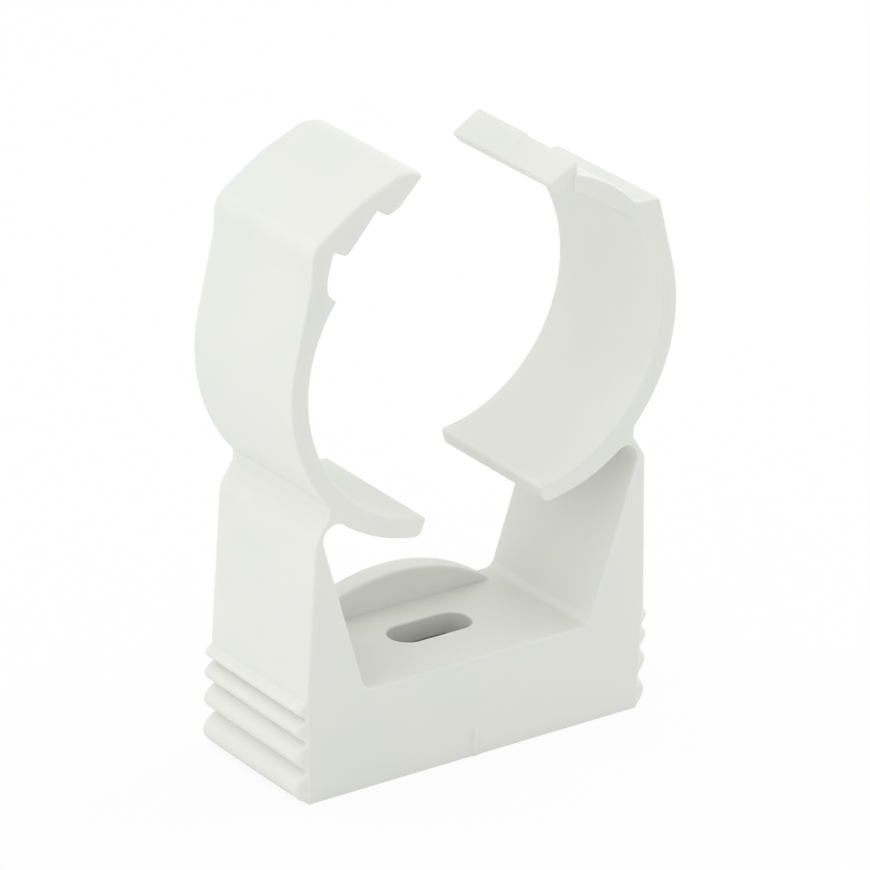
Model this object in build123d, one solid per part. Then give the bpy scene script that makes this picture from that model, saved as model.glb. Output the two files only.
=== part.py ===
from build123d import *
from math import acos, atan2, cos, degrees, radians, sin, sqrt, tan
import os

# Snap-closing pipe clip, moulded in one piece.
# X runs across the base, Y along the pipe, Z up from the wall that the base is screwed to.
# The origin is the middle of the mounting face. Lengths are millimetres, angles degrees.

# Pipe seat and arms
pipe_diameter = 40.0
clip_depth = 21.3
arm_wall = 2.6
seat_height = 55.1            # from the mounting face to the middle of each seat
arm_spread = 13.1             # between the two seat centres while the arms stand open

# Inner lips, which the pipe presses down to close the arms
lip_gap = 17.2
lip_root_wall = 3.1
lip_tip_wall = 2.6
lip_end_lean = 1.4
lip_nose_radius = 0.8

# Thin bending neck on each post, with a cove under it. Angles run about the right-hand seat centre.
cove_angle = -51.7            # where the cove meets the underside of the lip
neck_turn = 9.4               # from there up to where the neck meets the outside of the ring
cove_radius = 1.9
hinge_wall = 0.75

# Posts
neck_inset = 1.88             # from the post's outer face to the bottom of the neck groove
post_draft = 0.9              # the post is wider at its foot by this much
post_inner_lean = 17.35
shoulder_slope = 57.5
shoulder_radius = 2.0

# Base with its floor
floor_height = 13.75
floor_wall = 3.0
floor_corner_radius = 1.5
base_wall = 2.2
bottom_inset = 0.5
core_roof_radius = 0.8

# Ribs on both ends of the base; they grow and spread downward
rib_count = 4
rib_foot_height = 14.6
top_rib_height = 13.1
top_rib_stand = 0.9           # from the foot of the post outward
top_groove_stand = 0.1
bottom_rib_height = 1.85
rib_pitch_growth = 0.55       # each pitch is longer than the one above it by this much
rib_growth = 0.1
groove_growth = 0.17
bottom_rib_drop = 1.3

# Slot for the screw
slot_length = 12.1
slot_width = 5.2
slot_edge_radius = 0.3

# Arched stiffening web along the back edge of the floor
web_thickness = 3.2
web_rise = 4.75
web_gap = 2.4                 # from the foot of each post to the end of the arch
web_edge_radius = 0.4

# Centre mark on the front face
mark_height = 4.2
mark_width = 0.8
mark_relief = 0.3

# Crown of the right arm. Angles run anticlockwise from the right-hand side of the seat.
right_straight_angle = 15.6   # where the outer face leaves the ring in a straight line
ledge_corner_angle = 38.1
ledge_root_angle = 44.4
crown_wall = 1.8
crown_pad = 0.65              # the crown is thicker on its inner side by this much
crown_pad_start = 40.0
crown_pad_full = 52.0

# Latch tongue on the end of the crown. Its halves meet in the middle of the clip's depth.
tongue_inset = 0.25
latch_end = 13.1              # latch face, from the middle plane
tongue_root = 0.7             # from the latch face to the end of the crown's full depth
latch_height = 1.85
back_half_rise = 0.55         # the back half of the tongue stands higher by this much
tongue_reach = 4.35
tongue_drop = 2.1
tip_slope = 60.0
ridge_radius = 0.3
tip_radius = 0.25
tongue_edge_radius = 0.4

# Head of the left arm. Offsets run outward from the seat. Each turn is the angle about the
# left-hand seat centre from the corner before: up the outside, then back down the inside.
left_straight_angle = 12.0
crease_turn = 24.1
crease_radius = 0.8
shoulder_offset = 7.55
shoulder_turn = 7.8
head_shoulder_radius = 2.2
bend_offset = 7.1
bend_turn = 16.7
bend_radius = 5.0
brow_offset = 7.2
brow_turn = 15.1
brow_radius = 2.0
tip_offset = 6.0
tip_turn = 6.3
head_tip_radius = 0.45
lead_in_offset = 3.15
lead_in_turn = 10.1
lead_in_radius = 1.5

# Catch teeth inside the head, and the pocket below them
first_tooth_offset = 3.05
first_tooth_turn = 4.9
first_tooth_radius = 0.6
notch_offset = 4.72
first_notch_turn = 1.7
first_notch_radius = 0.4
second_tooth_offset = 2.7
second_tooth_turn = 15.8
second_tooth_radius = 0.6
second_notch_turn = 2.1
second_notch_radius = 0.3
pocket_offset = 2.7
pocket_turn = 8.3
pocket_radius = 4.0
pocket_foot_offset = 1.5
pocket_foot_turn = 2.6
pocket_foot_radius = 0.5
stop_turn = 0.6

seat_radius = pipe_diameter / 2
ring_radius = seat_radius + arm_wall
crown_radius = seat_radius + crown_wall
pad_radius = seat_radius - crown_pad
crown_end = latch_end - tongue_root
half_depth = clip_depth / 2
seat = (arm_spread / 2, seat_height)


def polar(radius, angle):
    """Point of the outline at a radius and an angle about the right-hand seat centre."""
    return (seat[0] + radius * cos(radians(angle)), seat[1] + radius * sin(radians(angle)))


def arc(radius, start, end):
    """Arc about the right-hand seat centre, from one angle to another."""
    return ThreePointArc(polar(radius, start), polar(radius, (start + end) / 2), polar(radius, end))


def upper_angle(radius, x):
    """Angle at which a circle about the right-hand seat centre stands, above the centre, at a distance x."""
    return degrees(acos((x - seat[0]) / radius))


def blend(radius, start, end_radius, end):
    """Arc that eases from one radius to another between two angles."""
    middle = polar((radius + end_radius) / 2, (start + end) / 2)
    return ThreePointArc(polar(radius, start), middle, polar(end_radius, end))


def tangent_corner(straight_angle, corner_angle):
    """Corner at which the straight outer face, which leaves the ring at straight_angle, ends."""
    return polar(ring_radius / cos(radians(corner_angle - straight_angle)), corner_angle)


def rounded(face, corner, radius):
    """The face with the corner nearest to a point rounded."""
    return fillet(face.vertices().sort_by_distance((corner[0], corner[1], 0))[0], radius)


def prism(face, depth):
    """An outline drawn in X and Z, given its depth along Y about the middle plane."""
    return extrude(Plane.XZ * face, depth / 2, both=True)


# Places on the right-hand side that follow from the sizes above
lean = radians(post_inner_lean)
slope = radians(shoulder_slope)
neck_high = polar(ring_radius, cove_angle + neck_turn)
post_top_half = neck_high[0] + neck_inset
post_foot_half = post_top_half + post_draft
bottom_half = post_foot_half - bottom_inset
top_rib_half = post_foot_half + top_rib_stand
top_groove_half = post_foot_half + top_groove_stand
cove = polar(seat_radius + lip_root_wall + cove_radius, cove_angle)
cove_side = (cove[0] + cove_radius * cos(lean), cove[1] - cove_radius * sin(lean))
post_inner_half = cove_side[0] - (cove_side[1] - floor_height) * tan(lean)


def rib_edges():
    """Right-hand end of the base, from the foot of the post down to the bottom: ribs and grooves as arcs."""
    tips = [(top_rib_half, top_rib_height)]
    pitches = rib_count - 1
    top_pitch = (top_rib_height - bottom_rib_height) / pitches - rib_pitch_growth * (pitches - 1) / 2
    for i in range(1, rib_count):
        drop = top_pitch + (i - 1) * rib_pitch_growth
        tips.append((top_rib_half + i * rib_growth, tips[-1][1] - drop))
    edges = []
    last = (post_foot_half, rib_foot_height)
    above = top_pitch / 4
    for i, (tip_x, tip_z) in enumerate(tips):
        below = bottom_rib_drop if i == rib_count - 1 else (tip_z - tips[i + 1][1]) / 4
        groove_x = top_groove_half - i * groove_growth
        flank_x = (tip_x + groove_x) / 2
        upper = (flank_x, tip_z + above)
        lower = (flank_x, tip_z - below)
        if i == 0:
            edges.append(Line(last, upper))
        else:
            groove = (groove_x + groove_growth, (tip_z + tips[i - 1][1]) / 2)
            edges.append(ThreePointArc(last, groove, upper))
        edges.append(ThreePointArc(upper, (tip_x, tip_z), lower))
        last = lower
        above = below
    edges.append(Line(last, (bottom_half, 0)))
    return edges


def half_frame():
    """Right half of the base, the right post, its neck, the lip and the lower part of the ring."""
    # The cove touches the post's inner face and the underside of the lip.
    lip_root = polar(seat_radius + lip_root_wall, cove_angle)
    half_turn = radians((cove_angle + 180 - post_inner_lean) / 2)
    cove_top = (cove[0] + cove_radius * cos(half_turn), cove[1] + cove_radius * sin(half_turn))

    # The shoulder runs past the cove at the thickness of the hinge.
    line = cove[0] * sin(slope) + cove[1] * cos(slope) + cove_radius + hinge_wall
    shoulder = (post_top_half, (line - post_top_half * sin(slope)) / cos(slope))
    neck_low = (neck_high[0], (line - neck_high[0] * sin(slope)) / cos(slope))

    # The lip ends a set distance from the middle plane.
    lip_angle = -degrees(acos((lip_gap / 2 - seat[0]) / seat_radius))
    nose = polar(seat_radius + lip_tip_wall, lip_angle + lip_end_lean)
    under = polar(seat_radius + (lip_root_wall + lip_tip_wall) / 2, (cove_angle + lip_angle) / 2)

    edges = [Line((0, floor_height), (0, 0)), Line((0, 0), (bottom_half, 0))]
    edges += rib_edges()
    edges += [
        Line((post_foot_half, rib_foot_height), shoulder),
        Line(shoulder, neck_low),
        Line(neck_low, neck_high),
        arc(ring_radius, cove_angle + neck_turn, 0),
        Line(polar(ring_radius, 0), polar(seat_radius, 0)),
        arc(seat_radius, 0, lip_angle),
        Line(polar(seat_radius, lip_angle), nose),
        ThreePointArc(nose, under, lip_root),
        ThreePointArc(lip_root, cove_top, cove_side),
        Line(cove_side, (post_inner_half, floor_height)),
        Line((post_inner_half, floor_height), (0, floor_height)),
    ]
    face = make_face(edges)
    face = rounded(face, nose, lip_nose_radius)
    face = rounded(face, shoulder, shoulder_radius)
    return rounded(face, (post_inner_half, floor_height), floor_corner_radius)


def crown():
    """Upper part of the right arm: straight outer face, ledge and thinner crown."""
    ledge = tangent_corner(right_straight_angle, ledge_corner_angle)
    root = polar(crown_radius, ledge_root_angle)
    outer_end = upper_angle(crown_radius, crown_end)
    inner_end = upper_angle(pad_radius, crown_end)
    return make_face([
        arc(ring_radius, 0, right_straight_angle),
        Line(polar(ring_radius, right_straight_angle), ledge),
        Line(ledge, root),
        arc(crown_radius, ledge_root_angle, outer_end),
        Line(polar(crown_radius, outer_end), polar(pad_radius, inner_end)),
        arc(pad_radius, inner_end, crown_pad_full),
        blend(pad_radius, crown_pad_full, seat_radius, crown_pad_start),
        arc(seat_radius, crown_pad_start, 0),
        Line(polar(seat_radius, 0), polar(ring_radius, 0)),
    ])


def tongue_half(rise):
    """Outline of the tongue: upright latch face, ramp down to the tip, blunt end and curved underside."""
    foot = polar(pad_radius, upper_angle(pad_radius, latch_end))
    top = polar(crown_radius, upper_angle(crown_radius, latch_end))
    ridge = (latch_end, top[1] + latch_height + rise)
    tip = (latch_end - tongue_reach, top[1] + latch_height - tongue_drop)
    dx, dz = cos(radians(tip_slope)), -sin(radians(tip_slope))
    away = (tip[0] - seat[0], tip[1] - seat[1])
    along = -(away[0] * dx + away[1] * dz)
    travel = along - sqrt(along ** 2 - away[0] ** 2 - away[1] ** 2 + pad_radius ** 2)
    heel = (tip[0] + travel * dx, tip[1] + travel * dz)
    heel_angle = degrees(atan2(heel[1] - seat[1], heel[0] - seat[0]))
    face = make_face([
        Line(foot, ridge),
        Line(ridge, tip),
        Line(tip, heel),
        arc(pad_radius, heel_angle, upper_angle(pad_radius, latch_end)),
    ])
    return rounded(rounded(face, ridge, ridge_radius), tip, tip_radius)


def soft_end(body, side, height):
    """The block with the upper edges of one end face rounded."""
    end = body.faces().sort_by(Axis.Y)[side]
    return fillet(end.edges().filter_by(lambda e: e.center().Z > height), tongue_edge_radius)


def tongue():
    """Latch tongue as a front half and a slightly higher back half, with soft outer ends."""
    half = half_depth - tongue_inset
    height = seat_height + crown_radius * sin(radians(upper_angle(crown_radius, latch_end)))
    front = soft_end(extrude(Plane.XZ * tongue_half(0), half), 0, height - latch_height)
    back = soft_end(extrude(Plane.XZ * tongue_half(back_half_rise), -half), -1, height - latch_height)
    return front + back


def head():
    """Upper part of the left arm, drawn on the right-hand side: latch head with its catch teeth and pocket."""
    crease_angle = left_straight_angle + crease_turn
    points = [polar(ring_radius, left_straight_angle), tangent_corner(left_straight_angle, crease_angle)]
    radii = [crease_radius]
    angle = crease_angle
    for offset, turn, radius in (
        (shoulder_offset, shoulder_turn, head_shoulder_radius),
        (bend_offset, bend_turn, bend_radius),
        (brow_offset, brow_turn, brow_radius),
        (tip_offset, tip_turn, head_tip_radius),
        (lead_in_offset, -lead_in_turn, lead_in_radius),
        (first_tooth_offset, -first_tooth_turn, first_tooth_radius),
        (notch_offset, -first_notch_turn, first_notch_radius),
        (second_tooth_offset, -second_tooth_turn, second_tooth_radius),
        (notch_offset, -second_notch_turn, second_notch_radius),
        (pocket_offset, -pocket_turn, pocket_radius),
        (pocket_foot_offset, -pocket_foot_turn, pocket_foot_radius),
    ):
        angle += turn
        points.append(polar(seat_radius + offset, angle))
        radii.append(radius)
    stop_angle = angle - stop_turn
    points.append(polar(seat_radius, stop_angle))
    profile = FilletPolyline(*points, radius=radii)
    return make_face([
        arc(ring_radius, 0, left_straight_angle),
        *profile.edges(),
        arc(seat_radius, stop_angle, 0),
        Line(polar(seat_radius, 0), polar(ring_radius, 0)),
    ])


def core():
    """Hollow underside of the base, which runs up into both posts as far as their walls allow."""
    ceiling = floor_height - floor_wall
    inner = post_inner_half + base_wall / cos(lean) - floor_wall * tan(lean)
    outer_foot = bottom_half - base_wall
    outer_top = post_top_half - base_wall
    peak = ceiling + (outer_top - inner) / tan(lean)
    half = make_face(Polyline(
        (0, 0), (outer_foot, 0), (outer_top, peak), (inner, ceiling), (0, ceiling), close=True,
    ))
    half = rounded(half, (outer_top, peak), core_roof_radius)
    hollow = prism(half, clip_depth - 2 * base_wall)
    return hollow + mirror(hollow, Plane.YZ)


def screw_slot():
    """Slot through the floor, its long side across the clip."""
    return extrude(SlotOverall(slot_length, slot_width), floor_height)


def web():
    """Arched web that stands on the back edge of the floor, between the posts."""
    half = post_inner_half - web_gap
    face = make_face([
        ThreePointArc((-half, floor_height), (0, floor_height + web_rise), (half, floor_height)),
        Polyline((half, floor_height), (half, floor_height - floor_wall), (-half, floor_height - floor_wall),
                 (-half, floor_height)),
    ])
    body = extrude(Plane.XZ * face, -web_thickness)
    crest = body.faces().sort_by(Axis.Z)[-1].edges().sort_by(Axis.Y)[0]
    return Pos(0, half_depth - web_thickness, 0) * fillet(crest, web_edge_radius)


def centre_mark():
    """Small raised line in the middle of the front face, at its foot."""
    section = make_face([
        Line((-mark_width / 2, 0), (mark_width / 2, 0)),
        ThreePointArc((mark_width / 2, 0), (0, -mark_relief), (-mark_width / 2, 0)),
    ])
    return Pos(0, -half_depth, 0) * extrude(section, mark_height)


def pipe_clip():
    """The whole clip as one moulded solid."""
    frame = half_frame()
    frame += mirror(frame, Plane.YZ)
    outline = frame + crown() + mirror(head(), Plane.YZ)
    body = prism(outline, clip_depth)
    body += tongue()
    body += web()
    body -= core()
    body -= screw_slot()
    floor = body.faces().filter_by(Plane.XY).sort_by_distance((0, 0, floor_height))[0]
    body = fillet(floor.inner_wires().edges(), slot_edge_radius)
    body += centre_mark()
    return body


os.makedirs("parts", exist_ok=True)
clip = pipe_clip()
clip.label = "pipe_clip"
export_step(clip, "parts/pipe_clip.step")
print("pipe_clip", clip.bounding_box(), "volume", round(clip.volume, 1), "solids", len(clip.solids()))
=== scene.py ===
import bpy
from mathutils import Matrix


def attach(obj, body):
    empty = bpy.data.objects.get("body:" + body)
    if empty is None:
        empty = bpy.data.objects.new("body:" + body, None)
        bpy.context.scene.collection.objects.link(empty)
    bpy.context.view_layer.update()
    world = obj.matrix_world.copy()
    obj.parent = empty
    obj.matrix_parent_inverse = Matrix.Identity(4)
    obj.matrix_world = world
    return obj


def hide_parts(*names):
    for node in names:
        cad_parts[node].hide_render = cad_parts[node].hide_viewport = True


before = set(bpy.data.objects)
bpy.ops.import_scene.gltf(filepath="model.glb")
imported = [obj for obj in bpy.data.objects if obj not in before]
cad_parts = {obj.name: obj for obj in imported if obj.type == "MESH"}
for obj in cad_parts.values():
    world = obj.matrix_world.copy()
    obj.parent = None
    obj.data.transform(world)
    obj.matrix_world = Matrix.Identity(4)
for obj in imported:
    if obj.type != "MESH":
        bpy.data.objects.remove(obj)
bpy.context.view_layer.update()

from math import radians
from types import SimpleNamespace

import bmesh
import bpy
import numpy as np
from bpy.props import FloatProperty, FloatVectorProperty, IntProperty, PointerProperty
from mathutils import Matrix, Vector
from mathutils.geometry import delaunay_2d_cdt

bl_info = {
    "name": "Pipe Clip",
    "version": (1, 0, 0),
    "blender": (4, 5, 0),
    "location": "3D View > Sidebar > Pipe Clip",
    "description": "Builds a snap-closing pipe clip, moulded in one piece, on its stage",
    "category": "Object",
}

# Distance by which a chord may leave its arc, in metres
CHORD_ERROR = 0.000004
# Least cosine of half a step along an arc, however small the arc is
STEP_COSINE = 0.9
# Points closer together than this become one, in metres
MERGE_DISTANCE = 0.0000002
# Least divisor where an outline that moves inward turns sharply
SHARP_DIVISOR = 0.2
# Edges with a wider angle than this stay sharp in the shading
SHARP_ANGLE = radians(35)
# Sections through the soft step of the tongue
STEP_SECTIONS = 7
# Angles of the sections through a rounded edge, from its start to its end
ROUNDING = np.linspace(0, np.pi / 2, 6)
# Points on each rib, on the web's arch, on each end of the slot and across the centre mark
RIB_POINTS, ARCH_POINTS, SLOT_POINTS, MARK_POINTS = 20, 61, 25, 17
# Points on the ridge, tip, heel and underside of the tongue; every section has as many
RIDGE_POINTS, TIP_POINTS, HEEL_POINTS, UNDER_POINTS = 7, 7, 4, 9
# Rounding of the lower corner of the crown's end as a share of the upper one's
LOWER_CORNER = 0.9
# The straight edge under the bottom rib ends at this share of the height of the rib's lower edge
RIB_EDGE = 0.7
# Points over which the rim's radius eases from one value to the next
EASING_POINTS = 5
# Where a rim is wider than the tongue's inset, the sections behind it step back by the excess times this
STEP_BACK = 1.05
# Corners of the head: name, offset outward from the seat, turn from the corner before (degrees, negative ones go
# back) and rounding; lengths in millimetres
HEAD_CORNERS = (
    ("shoulder", 7.55, 7.8, 3.2),
    ("bend", 7.1, 16.7, 8.0),
    ("brow", 7.4, 15.1, 5.0),
    ("tip", 6.0, 6.3, 0.45),
    ("lead_in", 3.15, -10.1, 4.0),
    ("first_tooth", 3.05, -4.9, 0.85),
    ("first_notch", 4.72, -1.7, 0.4),
    ("second_tooth", 2.7, -15.8, 0.75),
    ("second_notch", 4.72, -2.1, 0.3),
    ("pocket", 2.7, -8.3, 4.0),
    ("pocket_foot", 1.5, -2.6, 0.5),
)
# Half the side of the floor, its distance below the clip and the point that the lamps aim at, in metres
FLOOR_HALF, FLOOR_GAP, MIDDLE = 3.0, 0.00002, (0, 0, 0.04)
# Azimuth, elevation and roll of the camera in degrees, and its place along its own axes in metres
CAMERA_TURNS = (-36.07438, 23.71879, 1.59430)
CAMERA_OFFSET = (0.0010626, 0.0367916, 0.7896385)


def length(name, millimetres, description):
    """Property for a length, with its default given in millimetres."""
    return FloatProperty(name=name, description=description, default=millimetres / 1000, min=0,
                         unit="LENGTH", precision=5, step=0.01)


def angle(name, degrees, description):
    """Property for an angle, with its default given in degrees."""
    return FloatProperty(name=name, description=description, default=radians(degrees), subtype="ANGLE")


def number(name, default, description, **limits):
    """Property for any other number."""
    return FloatProperty(name=name, description=description, default=default, **limits)


def lamp_power(name, watts, description):
    """Property for the power of a lamp."""
    return number(name, watts, description, min=0, unit="POWER")


def color(name, default, description):
    """Property for a colour."""
    return FloatVectorProperty(name=name, description=description, default=default, size=3, min=0, max=1,
                               subtype="COLOR")


class ArmSizes(bpy.types.PropertyGroup):
    """Pipe seat, arms, lips and bending necks."""
    pipe_diameter: length("Pipe diameter", 40.0, "Outside diameter of the pipe")
    clip_depth: length("Clip depth", 21.3, "Depth along the pipe")
    arm_wall: length("Arm wall", 2.59, "Wall of both ring-shaped arms")
    seat_height: length("Seat height", 55.1, "From the mounting face to the middle of each seat")
    arm_spread: length("Arm spread", 13.1, "Between the two seat centres while the arms stand open")
    lip_gap: length("Lip gap", 17.2, "Between the ends of the inner lips")
    lip_root_wall: length("Lip root wall", 3.1, "Lip thickness at its root")
    lip_tip_wall: length("Lip tip wall", 2.6, "Lip thickness at its end")
    lip_end_lean: angle("Lip end lean", 1.4, "Lean of the lip's end face")
    lip_nose_radius: length("Lip nose radius", 1.1, "Rounding of the lip's lower end")
    lip_brink_radius: length("Lip brink radius", 0.5, "Rounding of the lip's upper end")
    cove_angle: angle("Cove angle", -51.7, "Where the cove meets the underside of the lip")
    neck_turn: angle("Neck turn", 9.4, "From there up to where the neck meets the outside of the ring")
    cove_radius: length("Cove radius", 1.9, "Radius of the cove under the neck")
    hinge_wall: length("Hinge wall", 0.75, "Thickness of the bending neck")


class BaseSizes(bpy.types.PropertyGroup):
    """Posts, base, ribs, slot, web and centre mark."""
    neck_inset: length("Neck inset", 1.88, "From the post's outer face to the bottom of the neck groove")
    post_draft: length("Post draft", 0.9, "The post is wider at its foot by this much")
    post_inner_lean: angle("Post inner lean", 17.35, "Lean of the post's inner face")
    shoulder_slope: angle("Shoulder slope", 57.5, "Slope of the shoulder on top of the post")
    shoulder_radius: length("Shoulder radius", 2.0, "Rounding of the shoulder's outer corner")
    floor_height: length("Floor height", 13.75, "Top of the floor above the mounting face")
    floor_wall: length("Floor wall", 3.0, "Thickness of the floor")
    floor_corner_radius: length("Floor corner radius", 1.5, "Rounding where floor and post meet")
    base_wall: length("Base wall", 2.2, "Wall round the hollow underside")
    bottom_inset: length("Bottom inset", 0.5, "From the foot of the post to the bottom edge")
    core_roof_radius: length("Hollow roof radius", 0.8, "Rounding at the top of the hollow")
    rib_count: IntProperty(name="Rib count", description="Ribs on each end of the base", default=4, min=2)
    rib_foot_height: length("Rib foot height", 14.6, "Height at which the post ends and the ribs begin")
    top_rib_height: length("Top rib height", 12.9, "Height of the top rib's tip")
    top_rib_stand: length("Top rib stand", 1.05, "From the straight end of the base to the top rib's tip")
    bottom_rib_height: length("Bottom rib height", 2.1, "Height of the bottom rib's tip")
    bottom_rib_stand: length("Bottom rib stand", 1.6, "From the straight end of the base to the bottom rib's tip")
    bottom_rib_end: length("Bottom rib end", 0.55, "Height of the bottom rib's lower edge")
    rib_pitch_growth: length("Rib pitch growth", 0.8, "Each pitch is longer than the one above by this")
    groove_depth: length("Groove depth", 0.35, "From the straight end of the base in to the grooves")
    rib_fullness: number("Rib fullness", 0.45, "Lower values give broad ribs and narrow grooves", min=0.3, max=1.5)
    top_rib_softness: number("Top rib softness", 0.58, "Higher values let the top rib begin softer", min=0.3, max=1.5)
    rib_setback: length("Rib setback", 0.2, "From the front face to the ends of the ribs")
    groove_setback: length("Groove setback", 0.5, "From the front face to the ends of the grooves")
    rib_end_run: length("Rib end run", 1.0, "Length over which the ribs and grooves reach full size")
    slot_length: length("Slot length", 12.1, "Length of the screw slot")
    slot_width: length("Slot width", 5.2, "Width of the screw slot")
    slot_edge_radius: length("Slot edge radius", 0.3, "Rounding of the slot's upper edge")
    web_thickness: length("Web thickness", 3.2, "Thickness of the arched web")
    web_rise: length("Web rise", 4.75, "Height of the web above the floor")
    web_gap: length("Web gap", 2.4, "From the foot of each post to the end of the web")
    web_edge_radius: length("Web edge radius", 0.4, "Rounding of the web's front crest")
    mark_height: length("Mark height", 4.2, "Height of the centre mark")
    mark_width: length("Mark width", 0.8, "Width of the centre mark")
    mark_relief: length("Mark relief", 0.3, "How far the centre mark stands out")


class CrownSizes(bpy.types.PropertyGroup):
    """Crown of the right arm with its latch tongue."""
    straight_angle: angle("Straight angle", 15.6, "Where the outer face leaves the ring in a straight line")
    ledge_corner_angle: angle("Ledge corner angle", 38.1, "Outer corner of the ledge")
    ledge_root_angle: angle("Ledge root angle", 44.4, "Foot of the ledge on the crown")
    ledge_radius: length("Ledge radius", 0.3, "Rounding of the ledge's outer corner")
    crown_wall: length("Crown wall", 1.8, "Outer wall of the crown over the seat radius")
    crown_pad: length("Crown pad", 0.65, "The crown is thicker on its inner side by this much")
    crown_pad_start: angle("Pad start", 40.0, "Where the pad begins")
    crown_pad_full: angle("Pad full", 52.0, "Where the pad has its full thickness")
    tongue_inset: length("Tongue inset", 0.25, "The tongue stands back from each face by this much")
    latch_end: length("Latch face", 13.1, "Latch face, from the middle plane")
    tongue_root: length("Tongue root", 0.7, "From the latch face to the end of the crown's full depth")
    crown_end_radius: length("Crown end radius", 0.21, "Rounding of the end of the crown beside the tongue")
    latch_height: length("Latch height", 1.85, "Height of the latch face")
    back_half_rise: length("Back half rise", 0.3, "The tongue's back half stands higher by this much")
    tongue_reach: length("Tongue reach", 4.35, "From the latch face to the tip")
    tongue_drop: length("Tongue drop", 2.3, "From the ridge down to the tip")
    tip_slope: angle("Tip slope", 48.0, "Slope of the tongue's blunt end")
    ridge_radius: length("Ridge radius", 0.3, "Rounding of the ridge")
    tip_radius: length("Tip radius", 0.4, "Rounding of the tip")
    heel_radius: length("Heel radius", 0.15, "Rounding between the blunt end and the underside")
    tongue_edge_radius: length("Tongue edge radius", 0.4, "Rounding of the tongue's outer edges")
    step_run: length("Step run", 0.6, "Length of the soft step between the tongue's halves")


class HeadSizes(bpy.types.PropertyGroup):
    """Head of the left arm: its start, then each of its corners, then its end on the seat."""
    straight_angle: angle("Straight angle", 12.0, "Where the outer face leaves the ring in a straight line")
    crease_turn: angle("Crease turn", 24.1, "From there to the crease under the head")
    crease_radius: length("Crease radius", 0.8, "Rounding of the crease")


for corner, offset, turn, radius in HEAD_CORNERS:
    title = corner.replace("_", " ").capitalize()
    HeadSizes.__annotations__.update({
        f"{corner}_offset": length(f"{title} offset", offset, "Outward from the seat"),
        f"{corner}_turn": angle(f"{title} turn", turn, "From the corner before; negative turns go back"),
        f"{corner}_radius": length(f"{title} radius", radius, "Rounding of this corner"),
    })
HeadSizes.__annotations__["stop_turn"] = angle("Stop turn", -0.6, "From the last corner to the seat")


class FinishSettings(bpy.types.PropertyGroup):
    """Rims and plastic of the moulding."""
    rim_radius: length("Rim radius", 0.28, "Rounding of the front and back rims")
    side_rim_radius: length("Side rim radius", 0.45, "Rounding of the front rims along the base's ends and the posts")
    head_rim_radius: length("Head rim radius", 0.45, "Rounding of the rims along the top of the head")
    crown_end_rim_radius: length("Crown end rim radius", 0.17, "Rounding of the rims beside the tongue")
    corner_radius: length("Corner radius", 0.3, "Rounding of the remaining outer corners")
    plastic_color: color("Plastic", (0.775, 0.79, 0.745), "Light grey polypropylene")
    cloud_color: color("Clouding", (0.80, 0.80, 0.76), "Slightly warmer patches in the plastic")
    grain_depth: number("Grain depth", 0.000003, "Depth of the mould's fine texture", min=0, unit="LENGTH", precision=6)
    wave_depth: number("Wave depth", 0.00003, "Depth of the broad unevenness of the faces", min=0, unit="LENGTH",
                       precision=6)


class StageSettings(bpy.types.PropertyGroup):
    """Floor, lamps and camera."""
    sky_level: number("Sky level", 0.785, "Even light from all round", min=0)
    top_power: lamp_power("Top lamp power", 0.75, "Soft lamp overhead")
    left_power: lamp_power("Left lamp power", 1.06, "Soft lamp low on the left")
    back_power: lamp_power("Back lamp power", 0.72, "Soft lamp above on the left, behind the clip")
    right_power: lamp_power("Right lamp power", 2.0, "Soft lamp on the right")
    lamp_size: length("Lamp size", 600.0, "Side of each square lamp")
    lamp_distance: length("Lamp distance", 800.0, "From the clip to each lamp")
    floor_color: color("Floor", (0.9, 0.9, 0.9), "Pale floor")
    floor_glow: number("Floor whiteness", 0.9, "Share of plain white in the seen floor", min=0, max=1, subtype="FACTOR")
    focal_length: number("Focal length", 256.669, "Focal length of the camera, in millimetres", min=1)


# ---------------------------------------------------------------- curves of the outline

def polar(sizes, radius, turn):
    """Point of the right half: x is half the spread plus radius by cosine, z the seat height plus radius by sine."""
    turn = np.asarray(turn, float)
    return np.stack((sizes.arm_spread / 2 + radius * np.cos(turn), sizes.seat_height + radius * np.sin(turn)), -1)


def turn_at(sizes, radius, x):
    """Angle at which a circle about the right-hand seat centre stands above it at x: arc cosine of the share."""
    return np.arccos((x - sizes.arm_spread / 2) / radius)


def line(*points):
    """Straight runs from point to point."""
    return np.array(points, float)


def sides(points):
    """The straight runs between neighbouring points, one by one."""
    return [line(start, end) for start, end in zip(points[:-1], points[1:])]


def arc(centre, radius, start, end, count=0):
    """Arc: centre plus radius by cosine and sine, in equal steps whose chords stay within the chord error."""
    step = 2 * np.arccos(max(1 - CHORD_ERROR / radius, STEP_COSINE))
    count = count or max(3, int(np.ceil(abs(end - start) / step)) + 1)
    turn = np.linspace(start, end, count)
    return np.asarray(centre) + radius * np.stack((np.cos(turn), np.sin(turn)), -1)


def arc_through(start, middle, end):
    """Arc through three points: its centre has the same distance from all three, which is two linear equations."""
    a, b, c = (np.asarray(point, float) for point in (start, middle, end))
    centre = np.linalg.solve(2 * np.stack((b - a, c - a)), np.array((b @ b - a @ a, c @ c - a @ a)))
    spokes = np.stack((a, b, c)) - centre
    turns = np.unwrap(np.arctan2(spokes[:, 1], spokes[:, 0]))
    return arc(centre, np.linalg.norm(spokes[0]), turns[0], turns[2])


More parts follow.
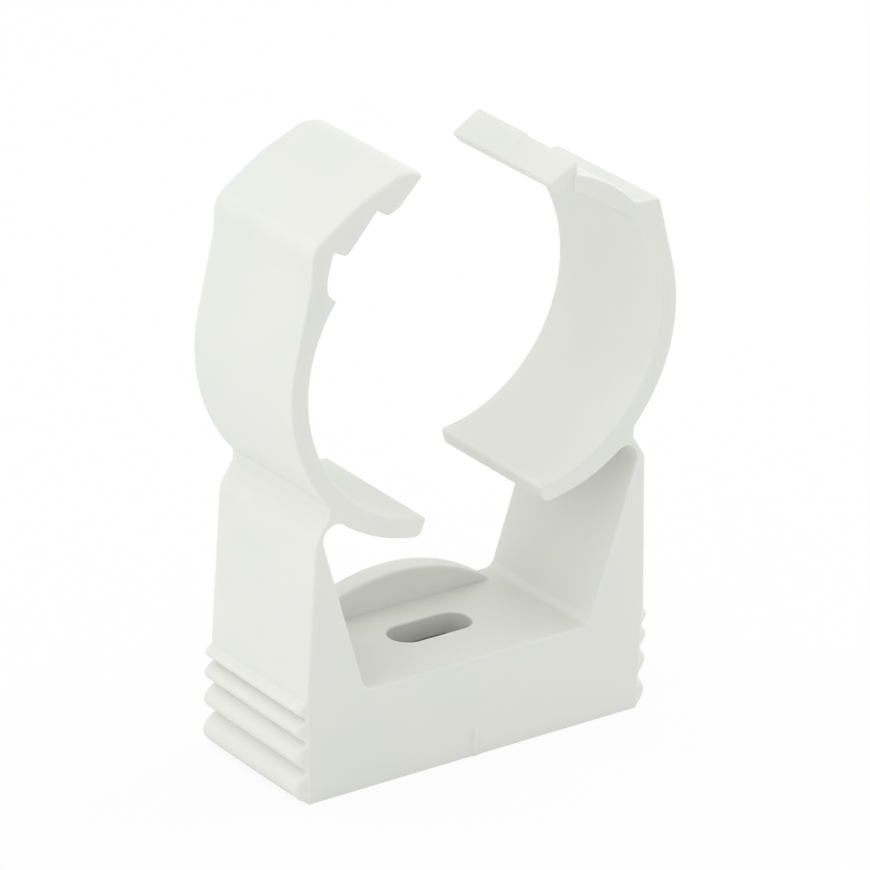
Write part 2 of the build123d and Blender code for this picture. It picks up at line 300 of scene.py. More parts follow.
def rounded_corner(before, corner, after, radius, count=0):
    """Arc that touches both sides of a corner, radius by the tangent of half the turn away from it."""
    came = (corner - before) / np.linalg.norm(corner - before)
    goes = (after - corner) / np.linalg.norm(after - corner)
    turn = np.arctan2(came[0] * goes[1] - came[1] * goes[0], came @ goes)
    side = np.sign(turn) * np.array((-came[1], came[0]))
    centre = corner - radius * np.tan(abs(turn) / 2) * came + radius * side
    start = np.arctan2(-side[1], -side[0])
    return arc(centre, radius, start, start + turn, count)


def join(pieces, radii):
    """Chain of lines and arcs. Where a radius is given, both sides are cut back to the arc that rounds their corner."""
    chain = pieces[0]
    for piece, radius in zip(pieces[1:], radii):
        corner = piece[0]
        if radius:
            bend = rounded_corner(chain[-2], corner, piece[1], radius)
            back = np.linalg.norm(bend[0] - corner)
            chain = chain[:np.flatnonzero(np.linalg.norm(chain - corner, axis=1) > back)[-1] + 1]
            piece = piece[np.flatnonzero(np.linalg.norm(piece - corner, axis=1) > back)[0]:]
            chain = np.concatenate((chain, bend, piece))
        else:
            chain = np.concatenate((chain, piece[1:]))
    return chain


def inset(outline, distance):
    """Closed outline moved inward, each point along the sum of its edges' normals over one plus their dot product."""
    edge = np.roll(outline, -1, axis=0) - outline
    size = np.linalg.norm(edge, axis=1, keepdims=True)
    edge = np.where(size < MERGE_DISTANCE, np.roll(edge, -1, axis=0), edge)
    edge /= np.linalg.norm(edge, axis=1, keepdims=True)
    normal = np.stack((-edge[:, 1], edge[:, 0]), -1)
    before = np.roll(normal, 1, axis=0)
    share = 1 + np.sum(normal * before, axis=1, keepdims=True)
    return outline + np.reshape(distance, (-1, 1)) * (normal + before) / np.maximum(share, SHARP_DIVISOR)


def places(arm, base, crown):
    """Places of the right-hand half that follow from the sizes."""
    place = SimpleNamespace()
    place.half_depth = arm.clip_depth / 2
    place.seat = np.array((arm.arm_spread / 2, arm.seat_height))
    place.seat_radius = arm.pipe_diameter / 2
    place.ring_radius = place.seat_radius + arm.arm_wall
    place.crown_radius = place.seat_radius + crown.crown_wall
    place.pad_radius = place.seat_radius - crown.crown_pad
    place.crown_end = crown.latch_end - crown.tongue_root
    lean = base.post_inner_lean
    place.neck_high = polar(arm, place.ring_radius, arm.cove_angle + arm.neck_turn)
    place.post_top_half = place.neck_high[0] + base.neck_inset
    place.post_foot_half = place.post_top_half + base.post_draft
    place.bottom_half = place.post_foot_half - base.bottom_inset
    place.cove = polar(arm, place.seat_radius + arm.lip_root_wall + arm.cove_radius, arm.cove_angle)
    place.cove_side = place.cove + arm.cove_radius * np.array((np.cos(lean), -np.sin(lean)))
    place.post_inner_half = place.cove_side[0] - (place.cove_side[1] - base.floor_height) * np.tan(lean)
    place.web_half = place.post_inner_half - base.web_gap
    place.shoulder_height = place.cove[1] - arm.cove_radius
    return place


def rib_chain(base, place):
    """End of the base from the bottom up. With the rib number n as phase, z falls by n pitches plus their growth, and x
    is the straight end plus the rib's stand times its fullness, less the groove's depth times the rest. The fullness is
    (1/2 + 1/2 cosine of n turns) to a power, which is another one above the top rib."""
    last = base.rib_count - 1
    pitch = (base.top_rib_height - base.bottom_rib_height) / last - base.rib_pitch_growth * (last - 1) / 2
    phase = np.linspace(-0.5, last + 0.5, RIB_POINTS * base.rib_count + 1)
    z = base.top_rib_height - pitch * phase - base.rib_pitch_growth * phase * (phase - 1) / 2
    exponent = np.where(phase < 0, base.top_rib_softness, base.rib_fullness)
    full = np.clip(0.5 + 0.5 * np.cos(2 * np.pi * phase), 0, 1) ** exponent
    stand = base.top_rib_stand + (base.bottom_rib_stand - base.top_rib_stand) * phase / last
    x = straight_end(base, place, z) + stand * full - base.groove_depth * (1 - full) * (phase > 0)
    kept = (z > base.bottom_rib_end) & (z < base.rib_foot_height)
    ribs = np.stack((x, z), -1)[kept][::-1]
    edge = RIB_EDGE * base.bottom_rib_end
    start = line((place.bottom_half, 0), (straight_end(base, place, edge), edge))
    return np.concatenate((start, ribs, line((place.post_foot_half, base.rib_foot_height))))


def straight_end(base, place, z):
    """Half width of the base without its ribs: from the bottom edge out to the foot of the post in a straight line."""
    return place.bottom_half + base.bottom_inset * z / base.rib_foot_height


def with_ribs(outline, base, place, depth):
    """Outline at a depth behind the front face. Beyond the setback the ribs and, a little further in, the grooves grow
    out of the straight end like a quarter circle: what they stand out by is multiplied by the root of one less (one
    less the share of the run) squared. The grooves take a third of the ribs' run."""
    x, z = np.abs(outline[:, 0]), outline[:, 1]
    straight = straight_end(base, place, z)
    rib_share = np.clip((depth - base.rib_setback) / base.rib_end_run, 0, 1)
    groove_share = np.clip((depth - base.groove_setback) / base.rib_end_run * 3, 0, 1)
    share = np.where(x > straight, rib_share, groove_share)
    share = np.sqrt(1 - (1 - share) ** 2)
    ribbed = (z > (1 + RIB_EDGE) / 2 * base.bottom_rib_end) & (z < base.rib_foot_height)
    moved = np.where(ribbed & (x > place.bottom_half - base.base_wall / 2), straight + share * (x - straight), x)
    return np.stack((np.sign(outline[:, 0]) * moved, z), -1)


def outer_side(arm, base, place, finish, straight_angle):
    """Outside of one half, from the middle of the bottom up to where the ring ends: base, ribs, post, neck and ring."""
    slope = base.shoulder_slope
    height = place.cove @ (np.sin(slope), np.cos(slope)) + arm.cove_radius + arm.hinge_wall
    shoulder = (place.post_top_half, (height - place.post_top_half * np.sin(slope)) / np.cos(slope))
    neck_low = (place.neck_high[0], (height - place.neck_high[0] * np.sin(slope)) / np.cos(slope))
    foot = (place.post_foot_half, base.rib_foot_height)
    pieces = [
        line((0, 0), (place.bottom_half, 0)),
        rib_chain(base, place),
        line(foot, shoulder),
        line(shoulder, neck_low),
        line(neck_low, place.neck_high),
        arc(place.seat, place.ring_radius, arm.cove_angle + arm.neck_turn, straight_angle),
    ]
    return join(pieces, [finish.corner_radius, 0, base.shoulder_radius, 0, 0])


def inner_side(arm, base, place, seat_start):
    """Inside of one half, from the seat down to the floor: seat, lip, cove and post."""
    lip_angle = -np.arccos((arm.lip_gap / 2 - place.seat[0]) / place.seat_radius)
    nose = polar(arm, place.seat_radius + arm.lip_tip_wall, lip_angle + arm.lip_end_lean)
    root = polar(arm, place.seat_radius + arm.lip_root_wall, arm.cove_angle)
    under = polar(arm, place.seat_radius + (arm.lip_root_wall + arm.lip_tip_wall) / 2,
                  (arm.cove_angle + lip_angle) / 2)
    floor = (place.post_inner_half, base.floor_height)
    pieces = [
        arc(place.seat, place.seat_radius, seat_start, lip_angle),
        line(polar(arm, place.seat_radius, lip_angle), nose),
        arc_through(nose, under, root),
        arc(place.cove, arm.cove_radius, arm.cove_angle + np.pi, -base.post_inner_lean),
        line(place.cove_side, floor),
        line(floor, (place.web_half + base.floor_corner_radius / 4, base.floor_height)),
    ]
    return join(pieces, [arm.lip_brink_radius, arm.lip_nose_radius, 0, 0, base.floor_corner_radius])


def tangent_corner(arm, place, straight_angle, corner_angle):
    """Point on the straight line that leaves the ring at one angle, where it reaches another."""
    return polar(arm, place.ring_radius / np.cos(corner_angle - straight_angle), corner_angle)


def crown_outside(arm, crown, place, finish):
    """Straight outer face, ledge and crown, up to the latch face."""
    ledge = tangent_corner(arm, place, crown.straight_angle, crown.ledge_corner_angle)
    root = polar(arm, place.crown_radius, crown.ledge_root_angle)
    latch = turn_at(arm, place.crown_radius, crown.latch_end)
    pieces = [
        line(polar(arm, place.ring_radius, crown.straight_angle), ledge),
        line(ledge, root),
        arc(place.seat, place.crown_radius, crown.ledge_root_angle, latch),
    ]
    return join(pieces, [crown.ledge_radius, finish.corner_radius])


def crown_inside(arm, crown, place):
    """Underside of the crown from its end to the seat: pad, then an easing arc."""
    end = turn_at(arm, place.pad_radius, place.crown_end + crown.crown_end_radius)
    middle = polar(arm, (place.pad_radius + place.seat_radius) / 2, (crown.crown_pad_full + crown.crown_pad_start) / 2)
    pieces = [
        arc(place.seat, place.pad_radius, end, crown.crown_pad_full),
        arc_through(polar(arm, place.pad_radius, crown.crown_pad_full), middle,
                    polar(arm, place.seat_radius, crown.crown_pad_start)),
    ]
    return join(pieces, [0])


def tongue_chain(arm, crown, place, back, rise):
    """Tongue outline with every side moved inward by back: latch face, ridge, ramp, tip, blunt end and underside."""
    edge = crown.latch_end - back
    top = polar(arm, place.crown_radius, turn_at(arm, place.crown_radius, crown.latch_end))[1]
    foot = polar(arm, place.crown_radius, turn_at(arm, place.crown_radius, edge))
    ridge = np.array((crown.latch_end, top + crown.latch_height + rise))
    tip = np.array((crown.latch_end - crown.tongue_reach, top + crown.latch_height - crown.tongue_drop))
    ramp = (tip - ridge) / np.linalg.norm(tip - ridge)
    blunt = np.array((np.cos(crown.tip_slope), -np.sin(crown.tip_slope)))
    ramp_start = ridge + back * np.array((-ramp[1], ramp[0]))
    blunt_start = tip + back * np.array((-blunt[1], blunt[0]))
    ridge = ramp_start + ramp * (edge - ramp_start[0]) / ramp[0]
    reach = np.linalg.solve(np.stack((ramp, -blunt), -1), blunt_start - ridge)
    tip = ridge + reach[0] * ramp
    away = tip - place.seat
    under_radius = place.pad_radius + back / 3
    along = -(away @ blunt)
    heel = tip + blunt * (along - np.sqrt(along ** 2 - away @ away + under_radius ** 2))
    heel_turn = np.arctan2(*(heel - place.seat)[::-1])
    end_turn = turn_at(arm, place.pad_radius, place.crown_end + crown.crown_end_radius)
    turns = np.linspace(heel_turn, end_turn, UNDER_POINTS + 1)[1:]
    under = polar(arm, np.linspace(under_radius, place.pad_radius, UNDER_POINTS + 1)[1:], turns)
    least = crown.heel_radius / 5
    return np.concatenate((
        foot[None],
        rounded_corner(foot, ridge, tip, max(crown.ridge_radius - back, least), RIDGE_POINTS),
        rounded_corner(ridge, tip, heel, max(crown.tip_radius - back, least), TIP_POINTS),
        rounded_corner(tip, heel, under[0], crown.heel_radius, HEEL_POINTS),
        under,
    ))


def crown_end_chain(arm, crown, place):
    """End of the crown without the tongue, with as many points: upper corner, straight end and lower corner."""
    start = polar(arm, place.crown_radius, turn_at(arm, place.crown_radius, crown.latch_end - crown.tongue_edge_radius))
    outer = polar(arm, place.crown_radius, turn_at(arm, place.crown_radius, place.crown_end))
    inner = polar(arm, place.pad_radius, turn_at(arm, place.pad_radius, place.crown_end))
    last = polar(arm, place.pad_radius, turn_at(arm, place.pad_radius, place.crown_end + crown.crown_end_radius))
    upper = rounded_corner(start, outer, inner, crown.crown_end_radius, RIDGE_POINTS)
    lower = rounded_corner(outer, inner, last, LOWER_CORNER * crown.crown_end_radius, TIP_POINTS - 1)
    share = np.linspace(0, 1, HEEL_POINTS + UNDER_POINTS + 2)[1:-1, None]
    return np.concatenate((start[None], upper, (1 - share) * upper[-1] + share * lower[0], lower, last[None]))


def head_chain(arm, head, place):
    """Head, drawn on the right-hand side: outer corners up to the tip, then teeth, notches and pocket back down."""
    crease = head.straight_angle + head.crease_turn
    offsets, turns, radii = (np.array([getattr(head, f"{corner[0]}_{size}") for corner in HEAD_CORNERS])
                             for size in ("offset", "turn", "radius"))
    offsets = np.append(offsets, 0)
    turns = crease + np.cumsum(np.append(turns, head.stop_turn))
    points = np.concatenate((
        polar(arm, place.ring_radius, head.straight_angle)[None],
        tangent_corner(arm, place, head.straight_angle, crease)[None],
        polar(arm, place.seat_radius + offsets, turns),
    ))
    return join(sides(points), [head.crease_radius, *radii]), turns[-1]


def web_arch(base, place, back):
    """Arch over the floor, its side moved inward by back: x is radius by sine, z the centre plus radius by cosine."""
    radius = (place.web_half ** 2 + base.web_rise ** 2) / (2 * base.web_rise)
    end = np.arccos((radius - base.web_rise) / (radius - back))
    turn = np.linspace(end, -end, ARCH_POINTS)
    centre = base.floor_height + base.web_rise - radius
    return np.stack(((radius - back) * np.sin(turn), centre + (radius - back) * np.cos(turn)), -1)


def clip_outline(arm, base, crown, head, place, finish):
    """Closed outline, anticlockwise seen from the front, and the ranges of it that hold the tongue and the floor."""
    right_outside = join([outer_side(arm, base, place, finish, crown.straight_angle),
                          crown_outside(arm, crown, place, finish)], [0])
    right_inside = join([crown_inside(arm, crown, place), inner_side(arm, base, place, crown.crown_pad_start)], [0])
    head_line, stop = head_chain(arm, head, place)
    left = join([outer_side(arm, base, place, finish, head.straight_angle), head_line,
                 inner_side(arm, base, place, stop)], [0, 0])
    left = left[::-1] * (-1, 1)
    end = crown_end_chain(arm, crown, place)
    floor = web_arch(base, place, base.web_edge_radius)
    floor[:, 1] = base.floor_height
    parts = [right_outside, end, right_inside[1:], floor, left[:-1]]
    starts = np.cumsum([0] + [len(part) for part in parts])
    return np.concatenate(parts), slice(starts[1], starts[2]), slice(starts[3], starts[4])


def rim_radii(outline, tongue, head, place, finish, side_radius):
    """Rim radius of each point: wider on the head and the sides, narrower at the tongue, eased in between."""
    spokes = outline * (-1, 1) - place.seat
    reach = np.linalg.norm(spokes, axis=1) - place.seat_radius
    turn = np.arctan2(spokes[:, 1], spokes[:, 0])
    brow = head.straight_angle + head.crease_turn + head.shoulder_turn
    on_head = (outline[:, 0] < 0) & (reach > head.first_notch_offset) & (turn > brow)
    x, z = np.abs(outline[:, 0]), outline[:, 1]
    above_foot = z > 4 * finish.corner_radius
    on_side = above_foot & (z < place.shoulder_height) & (x > place.post_top_half - finish.corner_radius)
    radii = np.full(len(outline), finish.rim_radius)
    radii[on_side] = side_radius
    radii[on_head] = finish.head_rim_radius
    radii[tongue] = finish.crown_end_rim_radius
    beyond = EASING_POINTS // 2
    padded = np.concatenate((radii[-beyond:], radii, radii[:beyond]))
    eased = np.convolve(padded, np.ones(EASING_POINTS) / EASING_POINTS, mode="valid")
    eased[tongue] = finish.crown_end_rim_radius
    return eased


def clip_sections(arm, base, crown, head, finish):
    """Sections from the front face to the back face, each an outline with the depth of its points."""
    place = places(arm, base, crown)
    outline, tongue, floor = clip_outline(arm, base, crown, head, place, finish)
    radii = rim_radii(outline, tongue, head, place, finish, finish.side_rim_radius)
    back_radii = rim_radii(outline, tongue, head, place, finish, finish.rim_radius)
    half = place.half_depth
    settle = np.maximum(radii - crown.tongue_inset, 0) * STEP_BACK
    back_settle = np.maximum(back_radii - crown.tongue_inset, 0) * STEP_BACK

    def variant(tongue_back=None, rise=0, arch_back=None):
        """The outline with the tongue or the web's arch in it."""
        points = outline.copy()
        if tongue_back is not None:
            points[tongue] = tongue_chain(arm, crown, place, tongue_back, rise)
        if arch_back is not None:
            points[floor] = web_arch(base, place, arch_back)
        return points

    sections = []

    def add(points, y):
        """Keeps the points as a section at these depths."""
        sections.append(np.stack((points[:, 0], np.broadcast_to(y, len(points)), points[:, 1]), -1))

    edge = crown.tongue_edge_radius
    for turn in ROUNDING:
        depth = radii * (1 - np.cos(turn))
        add(inset(with_ribs(outline, base, place, depth), radii * (1 - np.sin(turn))), depth - half)
    depth = crown.tongue_inset + settle
    add(with_ribs(outline, base, place, depth), depth - half)
    for turn in ROUNDING:
        depth = crown.tongue_inset + edge * (1 - np.cos(turn)) + settle
        add(with_ribs(variant(edge * (1 - np.sin(turn))), base, place, depth), depth - half)
    for share in np.linspace(0, 1, STEP_SECTIONS):
        add(variant(0, crown.back_half_rise * share ** 2 * (3 - 2 * share)), crown.step_run * (share - 0.5))
    web_front = half - base.web_thickness
    add(variant(0, crown.back_half_rise), web_front)
    for turn in ROUNDING:
        back = base.web_edge_radius * (1 - np.sin(turn))
        add(variant(0, crown.back_half_rise, back), web_front + base.web_edge_radius * (1 - np.cos(turn)))
    for turn in ROUNDING[::-1]:
        add(variant(edge * (1 - np.sin(turn)), crown.back_half_rise, 0),
            half - crown.tongue_inset - edge * (1 - np.cos(turn)) - back_settle)
    arched = variant(arch_back=0)
    add(arched, half - crown.tongue_inset - back_settle)
    for turn in ROUNDING[::-1]:
        add(inset(arched, back_radii * (1 - np.sin(turn))), half - back_radii * (1 - np.cos(turn)))
    return np.array(sections)


# ---------------------------------------------------------------- meshes

def cap_triangles(ring, across, numbers):
    """Triangles that fill a flat closed ring, as few and as even as its points allow."""
    flat = [Vector(point) for point in ring[:, across].tolist()]
    _, _, triangles, sources, _, _ = delaunay_2d_cdt(flat, [], [list(range(len(flat)))], 1, 1e-9)
    if not all(sources):
        raise RuntimeError("an outline crosses itself")
    return numbers[np.array([source[0] for source in sources])][np.array(triangles)].tolist()


def lofted(name, sections, across=(0, 2)):
    """Closed mesh through sections of equally many points: quads between neighbours and a flat cap on each end."""
    count = sections.shape[1]
    rows = np.arange(len(sections) * count).reshape(len(sections), count)
    beside = np.roll(rows, -1, axis=1)
    quads = np.stack((rows[:-1], rows[1:], beside[1:], beside[:-1]), -1).reshape(-1, 4)
    faces = quads.tolist() + cap_triangles(sections[0], across, rows[0])
    faces += cap_triangles(sections[-1], across, rows[-1])
    mesh = bpy.data.meshes.new(name)
    mesh.from_pydata(sections.reshape(-1, 3), [], faces)
    shell = bmesh.new()
    shell.from_mesh(mesh)
    bmesh.ops.remove_doubles(shell, verts=shell.verts, dist=MERGE_DISTANCE)
    bmesh.ops.recalc_face_normals(shell, faces=shell.faces)
    shell.to_mesh(mesh)
    shell.free()
    piece = bpy.data.objects.new(name, mesh)
    bpy.context.scene.collection.objects.link(piece)
    return piece


def hollow_cutter(arm, base, crown, finish):
    """Hollow of the underside, a closed outline carried along the depth between the walls."""
    place = places(arm, base, crown)
    lean = base.post_inner_lean
    ceiling = base.floor_height - base.floor_wall
    inner = place.post_inner_half + base.base_wall / np.cos(lean) - base.floor_wall * np.tan(lean)
    outer_foot = place.bottom_half - base.base_wall
    outer_top = place.post_top_half - base.base_wall
    peak = ceiling + (outer_top - inner) / np.tan(lean)
    below = base.base_wall
    outer_below = outer_foot + (outer_foot - outer_top) * below / peak
    points = line((0, -below), (outer_below, -below), (outer_top, peak), (inner, ceiling), (0, ceiling))
    right = join(sides(points), [0, base.core_roof_radius, finish.corner_radius])
    loop = np.concatenate((right, (right[::-1] * (-1, 1))[1:-1]))
    depth = place.half_depth - base.base_wall
    ends = [np.stack((loop[:, 0], np.full(len(loop), y), loop[:, 1]), -1) for y in (-depth, depth)]
    return lofted("hollow_cutter", np.array(ends))


def slot_cutter(base):
    """Slot: two half circles joined by straight sides, carried upward and flared round the floor's upper edge."""
    radius = base.slot_width / 2
    offset = base.slot_length / 2 - radius
    turn = np.linspace(-np.pi / 2, np.pi / 2, SLOT_POINTS)
    edge = base.slot_edge_radius
    flare = np.radians((0, 22.5, 45, 67.5))
    brim, above, under = 1.15 * edge, 0.08 * edge, 1.2 * base.floor_wall
    top = base.floor_height
    grow = np.concatenate(((0,), edge * (1 - np.cos(flare)), (brim, brim)))
    heights = np.concatenate(((top - under,), top - edge + edge * np.sin(flare), (top + above, top + edge)))
    right = np.stack((np.cos(turn), np.sin(turn)), -1)
    circle = np.concatenate((right, -right))
    shift = np.repeat((offset, -offset), len(turn))
    x = shift + (radius + grow[:, None]) * circle[:, 0]
    y = (radius + grow[:, None]) * circle[:, 1]
    return lofted("slot_cutter", np.stack((x, y, np.broadcast_to(heights[:, None], x.shape)), -1), (0, 1))


def centre_mark(base, half_depth):
    """Raised line: its section is a parabola across the width, and its ends fall off as a quarter circle."""
    share = np.linspace(-1, 1, MARK_POINTS)
    end = np.radians((0, 30, 60, 90))
    relief = base.mark_relief
    sunk, bottom = relief / 15, base.slot_edge_radius / 6
    rise = np.concatenate((np.sin(end), np.sin(end)[::-1]))
    start = relief * (1 - np.cos(end))
    heights = np.concatenate((start + bottom, base.mark_height - start[::-1]))
    front = sunk - half_depth - (relief + sunk) * rise[:, None] * (1 - share ** 2)
    x = np.broadcast_to(share * base.mark_width / 2, front.shape)
    root = np.full((len(heights), 2), -half_depth + relief / 2)
    y = np.concatenate((front, root), axis=1)
    sides = np.broadcast_to((base.mark_width / 2, -base.mark_width / 2), root.shape)
    x = np.concatenate((x, sides), axis=1)
    return lofted("centre_mark", np.stack((x, y, np.broadcast_to(heights[:, None], x.shape)), -1), (0, 1))


def combined(piece, tools):
    """The piece after each tool has been cut from it or added to it; the tools are removed."""
    for tool, operation in tools:
        step = piece.modifiers.new(tool.name, "BOOLEAN")
        step.object = tool
        step.operation = operation
        step.solver = "EXACT"
    graph = bpy.context.evaluated_depsgraph_get()
    mesh = bpy.data.meshes.new_from_object(piece.evaluated_get(graph))
    piece.modifiers.clear()
    old = piece.data
    piece.data = mesh
    mesh.name = piece.name
    bpy.data.meshes.remove(old)
    for tool, _ in tools:
        spare = tool.data
        bpy.data.objects.remove(tool)
        bpy.data.meshes.remove(spare)


def check_closed(piece):
    """Stops the script if an edge of the piece doesn't lie between two faces."""
    uses = np.zeros(len(piece.data.loops), np.int32)
    piece.data.loops.foreach_get("edge_index", uses)
    if not np.all(np.bincount(uses) == 2):
        raise RuntimeError(f"{piece.name} is not closed")


# ---------------------------------------------------------------- materials

def add_node(tree, kind, place, **values):
    """New node at a place of the tree, with its properties and its inputs set by name."""
    node = tree.nodes.new(kind)
    node.location = place
    for name, value in values.items():
        if hasattr(node, name):
            setattr(node, name, value)
        else:
            node.inputs[name.replace("_", " ")].default_value = value
    return node


def emptied(owner):
    """Node tree of a material or a world, without nodes."""
    owner.use_nodes = True
    owner.node_tree.nodes.clear()
    return owner.node_tree


def plastic_material(finish):
    """Moulded polypropylene: faint clouding, uneven sheen, fine mould texture and broad waves."""
    material = bpy.data.materials.new("moulded_polypropylene")
    tree = emptied(material)
    link = tree.links.new
    where = add_node(tree, "ShaderNodeTexCoord", (-1400, 0))
    shader = add_node(tree, "ShaderNodeBsdfPrincipled", (200, 0), IOR=1.49, Subsurface_Weight=0.1,
                      Subsurface_Radius=(1.0, 0.95, 0.85), Subsurface_Scale=0.0012)
    output = add_node(tree, "ShaderNodeOutputMaterial", (500, 0))
    link(shader.outputs["BSDF"], output.inputs["Surface"])

    def noise(height, scale, detail, roughness):
        """Noise over the piece's own coordinates."""
        node = add_node(tree, "ShaderNodeTexNoise", (-1000, height), Scale=scale, Detail=detail, Roughness=roughness)
        link(where.outputs["Object"], node.inputs["Vector"])
        return node.outputs["Fac"]

    patch = add_node(tree, "ShaderNodeMapRange", (-700, 300), interpolation_type="SMOOTHSTEP", From_Min=0.35,
                     From_Max=0.65)
    link(noise(300, 70.0, 3.0, 0.55), patch.inputs["Value"])
    tint = add_node(tree, "ShaderNodeMix", (-400, 300), data_type="RGBA", A=(*finish.plastic_color, 1),
                    B=(*finish.cloud_color, 1))
    link(patch.outputs["Result"], tint.inputs["Factor"])
    link(next(s for s in tint.outputs if s.type == "RGBA"), shader.inputs["Base Color"])

    sheen = add_node(tree, "ShaderNodeMapRange", (-700, 0), To_Min=0.38, To_Max=0.54)
    link(noise(0, 260.0, 4.0, 0.6), sheen.inputs["Value"])
    link(sheen.outputs["Result"], shader.inputs["Roughness"])

    waves = add_node(tree, "ShaderNodeBump", (-400, -300), Strength=1.0, Distance=finish.wave_depth)
    link(noise(-300, 110.0, 1.0, 0.4), waves.inputs["Height"])
    grain = add_node(tree, "ShaderNodeBump", (-150, -400), Strength=1.0, Distance=finish.grain_depth)
    link(noise(-600, 4200.0, 2.0, 0.5), grain.inputs["Height"])
    link(waves.outputs["Normal"], grain.inputs["Normal"])
    link(grain.outputs["Normal"], shader.inputs["Normal"])
    return material


def seen_directly(tree, place):
    """Light Path mask that is 1 for what the camera sees, also by reflection or through a clear part."""
    rays = add_node(tree, "ShaderNodeLightPath", place)
    seen = rays.outputs["Is Camera Ray"]
    for step, kind in enumerate(("Is Glossy Ray", "Is Transmission Ray"), start=1):
        either = add_node(tree, "ShaderNodeMath", (place[0] + 200 * step, place[1]), operation="MAXIMUM")
        tree.links.new(seen, either.inputs[0])
        tree.links.new(rays.outputs[kind], either.inputs[1])
        seen = either.outputs["Value"]
    return seen


def show_mixed(tree, kind, share, first, second):
    """Output node of a kind that shows the second shader by the share and the first by the rest."""
    mixed = add_node(tree, "ShaderNodeMixShader", (0, 0))
    output = add_node(tree, kind, (250, 0))
    for socket, source in enumerate((share, first.outputs[0], second.outputs[0])):
        tree.links.new(source, mixed.inputs[socket])
    tree.links.new(mixed.outputs["Shader"], output.inputs["Surface"])


def floor_material(stage):
    """Pale floor that is nearly plain white where it is seen, and keeps a faint shadow."""
    material = bpy.data.materials.new("pale_floor")
    tree = emptied(material)
    share = add_node(tree, "ShaderNodeMath", (-250, 200), operation="MULTIPLY")
    share.inputs[1].default_value = stage.floor_glow
    tree.links.new(seen_directly(tree, (-900, 200)), share.inputs[0])
    matt = add_node(tree, "ShaderNodeBsdfDiffuse", (-250, 0), Color=(*stage.floor_color, 1))
    white = add_node(tree, "ShaderNodeEmission", (-250, -200), Color=(1, 1, 1, 1), Strength=1.0)
    show_mixed(tree, "ShaderNodeOutputMaterial", share.outputs["Value"], matt, white)
    return material


# ---------------------------------------------------------------- operators and panel

class PIPE_CLIP_OT_mould(bpy.types.Operator):
    """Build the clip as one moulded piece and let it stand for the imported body"""
    bl_idname = "pipe_clip.mould"
    bl_label = "Mould the clip"

    def execute(self, context):
        scene = context.scene
        arm, base, crown = scene.clip_arms, scene.clip_base, scene.clip_crown
        finish = scene.clip_finish
        piece = lofted("moulded_clip", clip_sections(arm, base, crown, scene.clip_head, finish))
        combined(piece, [
            (hollow_cutter(arm, base, crown, finish), "DIFFERENCE"),
            (slot_cutter(base), "DIFFERENCE"),
            (centre_mark(base, arm.clip_depth / 2), "UNION"),
        ])
        check_closed(piece)
        piece.data.shade_smooth()
        piece.data.set_sharp_from_angle(angle=SHARP_ANGLE)
        even = piece.modifiers.new("even_faces", "WEIGHTED_NORMAL")
        even.keep_sharp = True
        piece.data.materials.clear()
        piece.data.materials.append(plastic_material(finish))
        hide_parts("pipe_clip")
        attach(piece, "root")
        return {"FINISHED"}


class PIPE_CLIP_OT_stage(bpy.types.Operator):
    """Set up the pale floor, the soft lamps and the camera"""
    bl_idname = "pipe_clip.stage"
    bl_label = "Set the stage"

    def execute(self, context):
        scene = context.scene
        stage = scene.clip_stage
        scene.view_settings.view_transform = "Standard"

        mesh = bpy.data.meshes.new("floor")
        corners = np.array(((-1, -1, 0), (1, -1, 0), (1, 1, 0), (-1, 1, 0))) * FLOOR_HALF - (0, 0, FLOOR_GAP)
        mesh.from_pydata(corners, [], [(0, 1, 2, 3)])
        floor = bpy.data.objects.new("floor", mesh)
        scene.collection.objects.link(floor)
        mesh.materials.append(floor_material(stage))

        scene.world = bpy.data.worlds.new("even_sky")
        tree = emptied(scene.world)
        seen = seen_directly(tree, (-900, 0))
        lit = add_node(tree, "ShaderNodeBackground", (-250, 100), Color=(1, 1, 1, 1), Strength=stage.sky_level)
        white = add_node(tree, "ShaderNodeBackground", (-250, -100), Color=(1, 1, 1, 1), Strength=1.0)
        show_mixed(tree, "ShaderNodeOutputWorld", seen, lit, white)

        # Name, power and direction; the top lamp leans a little, because a vertical one has no turn
        lamps = (
            ("top_lamp", stage.top_power, (0.001, 0, 1)),
            ("left_lamp", stage.left_power, (-0.95, -0.2, 0.2)),
            ("back_lamp", stage.back_power, (-0.5, 0.6, 0.6)),
            ("right_lamp", stage.right_power, (0.95, 0, 0.3)),
        )
        for name, power, direction in lamps:
            lamp = bpy.data.lights.new(name, "AREA")
            lamp.energy = power
            lamp.size = stage.lamp_size
            holder = bpy.data.objects.new(name, lamp)
            scene.collection.objects.link(holder)
            toward = np.array(direction) / np.linalg.norm(direction)
            holder.matrix_world = aimed(toward * stage.lamp_distance + MIDDLE, toward)
            holder.visible_camera = False

        camera = bpy.data.cameras.new("camera")
        camera.sensor_width = 36.0
        camera.lens = stage.focal_length
        camera.clip_start = 0.01
        camera.clip_end = 20
        eye = bpy.data.objects.new("camera", camera)
        scene.collection.objects.link(eye)
        eye.matrix_world = camera_place()
        scene.camera = eye
        return {"FINISHED"}


def placed(right, up, back, position):
    """Matrix with these three axes at a position."""
    place = np.eye(4)
    place[:3] = np.stack((right, up, back, position), -1)
    return Matrix(place.tolist())


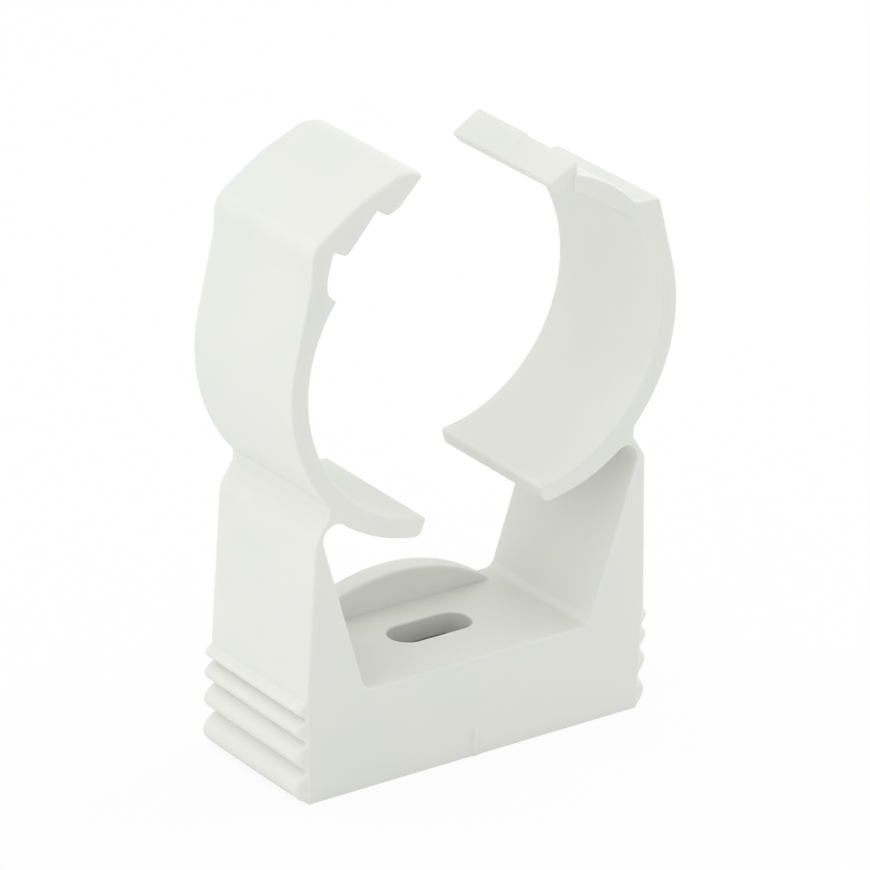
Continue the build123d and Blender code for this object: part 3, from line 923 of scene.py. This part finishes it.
def aimed(position, back):
    """Matrix of a lamp at a position, with the direction against its light."""
    right = np.cross((0, 0, 1), back)
    right /= np.linalg.norm(right)
    return placed(right, np.cross(back, right), back, position)


def camera_place():
    """Matrix of the camera: azimuth, elevation and roll turn its axes, and its own offsets move it from the origin."""
    azimuth, elevation, roll = np.radians(CAMERA_TURNS)
    right = np.array((np.cos(azimuth), np.sin(azimuth), 0))
    up = np.array((-np.sin(azimuth) * np.sin(elevation), np.cos(azimuth) * np.sin(elevation), np.cos(elevation)))
    back = np.cross(right, up)
    axes = np.stack((np.cos(roll) * right + np.sin(roll) * up, np.cos(roll) * up - np.sin(roll) * right, back))
    return placed(*axes, np.array(CAMERA_OFFSET) @ axes)


class PIPE_CLIP_PT_panel(bpy.types.Panel):
    """Sizes, finish and stage of the pipe clip"""
    bl_idname = "PIPE_CLIP_PT_panel"
    bl_label = "Pipe Clip"
    bl_space_type = "VIEW_3D"
    bl_region_type = "UI"
    bl_category = "Pipe Clip"

    def draw(self, context):
        column = self.layout.column()
        column.operator(PIPE_CLIP_OT_mould.bl_idname)
        column.operator(PIPE_CLIP_OT_stage.bl_idname)
        for name, group in GROUPS.items():
            box = self.layout.box()
            box.label(text=name.replace("_", " ").capitalize())
            for size in group.__annotations__:
                box.prop(getattr(context.scene, name), size)


GROUPS = {
    "clip_arms": ArmSizes,
    "clip_base": BaseSizes,
    "clip_crown": CrownSizes,
    "clip_head": HeadSizes,
    "clip_finish": FinishSettings,
    "clip_stage": StageSettings,
}
CLASSES = (*GROUPS.values(), PIPE_CLIP_OT_mould, PIPE_CLIP_OT_stage, PIPE_CLIP_PT_panel)


def register():
    for each in CLASSES:
        bpy.utils.register_class(each)
    for name, group in GROUPS.items():
        setattr(bpy.types.Scene, name, PointerProperty(type=group))


def unregister():
    for name in GROUPS:
        delattr(bpy.types.Scene, name)
    for each in reversed(CLASSES):
        bpy.utils.unregister_class(each)


def main():
    """Builds the clip and the stage."""
    register()
    bpy.ops.pipe_clip.mould()
    bpy.ops.pipe_clip.stage()
    bpy.context.view_layer.update()


if __name__ == "__main__":
    main()
